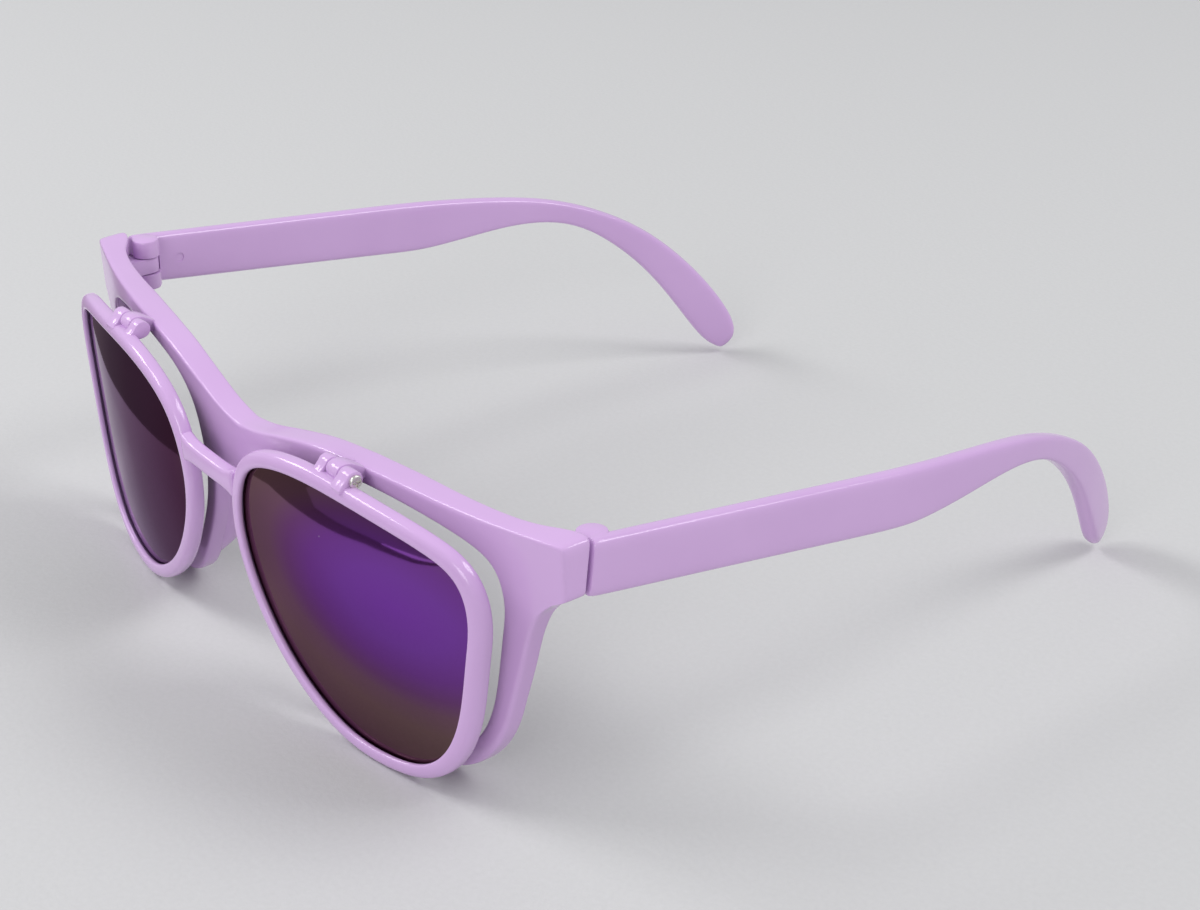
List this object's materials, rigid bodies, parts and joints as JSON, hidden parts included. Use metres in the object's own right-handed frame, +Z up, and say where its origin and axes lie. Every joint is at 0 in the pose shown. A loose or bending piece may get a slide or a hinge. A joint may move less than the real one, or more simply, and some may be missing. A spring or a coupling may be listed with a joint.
{
  "type": "flip up sunglasses",
  "caption": "Horn-rimmed plastic sunglasses with folding temples and a mirror-lensed front that flips up on screw hinges from clear lenses.",
  "frame": {"origin": "under the middle of the bounding box, on the surface the rims and temple tips stand on", "axes": "+X to the wearer's left, +Y backward along the temples, +Z up; standing open on a table with the flip front down"},
  "size_m": [0.145, 0.1474, 0.0487],
  "materials": {
    "frame_plastic": "lilac gloss moulding",
    "mirror_lens": "dark violet mirror coating on tinted plastic",
    "clear_lens": "clear polished plastic",
    "screw_steel": "bright plated steel"
  },
  "bodies": {
    "front": {"front_frame": "frame_plastic", "clear_lens_left": "clear_lens", "clear_lens_right": "clear_lens"},
    "flip": {"flip_frame": "frame_plastic", "flip_lens_left": "mirror_lens", "flip_lens_right": "mirror_lens", "flip_hinge_screw_left": "screw_steel", "flip_hinge_screw_right": "screw_steel"},
    "temple_left": {"temple_left": "frame_plastic", "temple_hinge_screw_left": "screw_steel"},
    "temple_right": {"temple_right": "frame_plastic", "temple_hinge_screw_right": "screw_steel"}
  },
  "joints": [
    {"name": "flip_hinge", "type": "hinge", "parent": "front", "child": "flip", "pos_m": [0, -0.06861, 0.04702], "axis": [-1, 0, 0], "range_deg": [0, 95]},
    {"name": "temple_left_fold", "type": "hinge", "parent": "front", "child": "temple_left", "pos_m": [0.0689, -0.04897, 0.04183], "axis": [0, 0, 1], "range_deg": [0, 83]},
    {"name": "temple_right_fold", "type": "hinge", "parent": "front", "child": "temple_right", "pos_m": [-0.0689, -0.04897, 0.04183], "axis": [0, 0, -1], "range_deg": [0, 76]}
  ]
}
